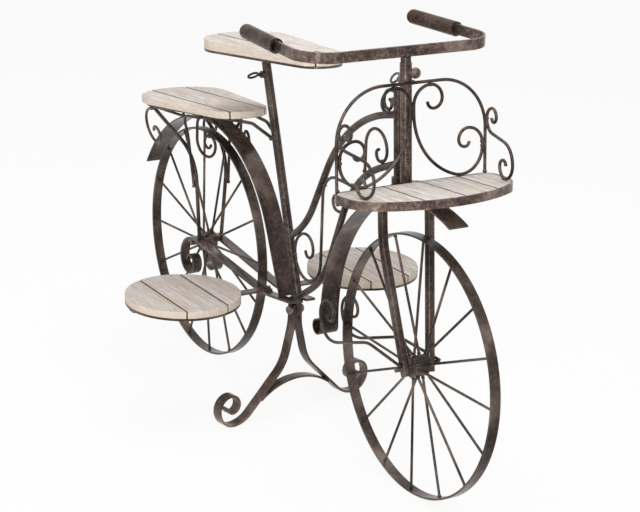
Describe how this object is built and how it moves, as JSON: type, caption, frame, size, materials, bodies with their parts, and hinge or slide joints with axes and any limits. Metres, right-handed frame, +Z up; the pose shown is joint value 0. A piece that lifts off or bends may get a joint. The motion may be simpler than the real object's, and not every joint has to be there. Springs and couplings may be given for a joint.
{
  "type": "bicycle plant stand",
  "caption": "Bicycle-shaped wrought iron plant stand with scrollwork, spoked wheels, a scrolled kickstand and whitewashed plank shelves for pots.",
  "frame": {"origin": "on the floor midway between the two wheel axles, in the stand's middle plane", "axes": "+X forward, +Y to the rider's left, +Z up"},
  "size_m": [1.32, 0.645, 0.8232],
  "materials": {
    "iron": "antique dark brown, rubbed to grey on edges",
    "planks": "whitewashed, matt"
  },
  "bodies": {
    "frame": {"seat_tube": "iron", "head_tube": "iron", "upper_frame_tube": "iron", "lower_frame_tube": "iron", "seat_tube_scroll": "iron", "frame_scrolls": "iron", "chain_stay_left": "iron", "chain_stay_right": "iron", "rear_axle": "iron", "rear_mudguard": "iron", "rear_board_plank_left": "planks", "rear_board_plank_middle": "planks", "rear_board_plank_right": "planks", "carrier_hoop": "iron", "carrier_stays": "iron", "carrier_struts": "iron", "carrier_scrolls": "iron", "pedal_shelf_frame_left": "iron", "pedal_shelf_frame_right": "iron", "pedal_shelf_planks_left": "planks", "pedal_shelf_planks_right": "planks", "pedal_shelf_rivets": "iron", "kickstand_lug": "iron", "kickstand_leg_left": "iron", "kickstand_leg_right": "iron", "kickstand_cross_strip": "iron", "kickstand_bolt": "iron"},
    "front": {"front_post": "iron", "steering_collars": "iron", "fork_blade_left": "iron", "fork_blade_right": "iron", "front_axle": "iron", "front_mudguard": "iron", "front_guard_stays": "iron", "front_shelf_band": "iron", "front_shelf_bearers": "iron", "front_shelf_plank_left": "planks", "front_shelf_plank_middle": "planks", "front_shelf_plank_middle_right": "planks", "front_shelf_plank_right": "planks", "gallery_arch": "iron", "gallery_scrolls": "iron", "gallery_wings": "iron", "dome_knob": "iron"},
    "handlebar": {"handlebar_stem": "iron", "handlebar_bar": "iron", "grip_left": "iron", "grip_right": "iron"},
    "handlebar_clamp": {"handlebar_thumbscrew": "iron"},
    "seat": {"seat_post": "iron", "seat_frame": "iron", "seat_plank_left": "planks", "seat_plank_right": "planks"},
    "seat_clamp": {"seat_thumbscrew": "iron"},
    "front_wheel": {"front_wheel_rim": "iron", "front_wheel_hub": "iron", "front_wheel_spokes": "iron"},
    "rear_wheel": {"rear_wheel_rim": "iron", "rear_wheel_hub": "iron", "rear_wheel_spokes": "iron"}
  },
  "joints": [
    {"name": "steer", "type": "hinge", "parent": "frame", "child": "front", "pos_m": [0.322, 0, 0.56], "axis": [-0.0819, 0, 0.9966], "range_deg": [-30, 30]},
    {"name": "handlebar_height", "type": "slide", "parent": "front", "child": "handlebar", "axis": [-0.0819, 0, 0.9966], "range_m": [-0.006, 0.06]},
    {"name": "handlebar_clamp_turn", "type": "hinge", "parent": "front", "child": "handlebar_clamp", "pos_m": [0.32986, 0, 0.75731], "axis": [-0.9966, 0, -0.0819], "range_deg": [0, 360]},
    {"name": "seat_height", "type": "slide", "parent": "frame", "child": "seat", "axis": [-0.3206, 0, 0.9472], "range_m": [-0.008, 0.045]},
    {"name": "seat_clamp_turn", "type": "hinge", "parent": "frame", "child": "seat_clamp", "pos_m": [-0.16499, 0, 0.66246], "axis": [0, -1, 0], "range_deg": [0, 360]},
    {"name": "front_wheel_spin", "type": "hinge", "parent": "front", "child": "front_wheel", "pos_m": [0.41, 0, 0.245], "axis": [0, 1, 0], "continuous": true},
    {"name": "rear_wheel_spin", "type": "hinge", "parent": "frame", "child": "rear_wheel", "pos_m": [-0.41, 0, 0.245], "axis": [0, 1, 0], "continuous": true}
  ]
}
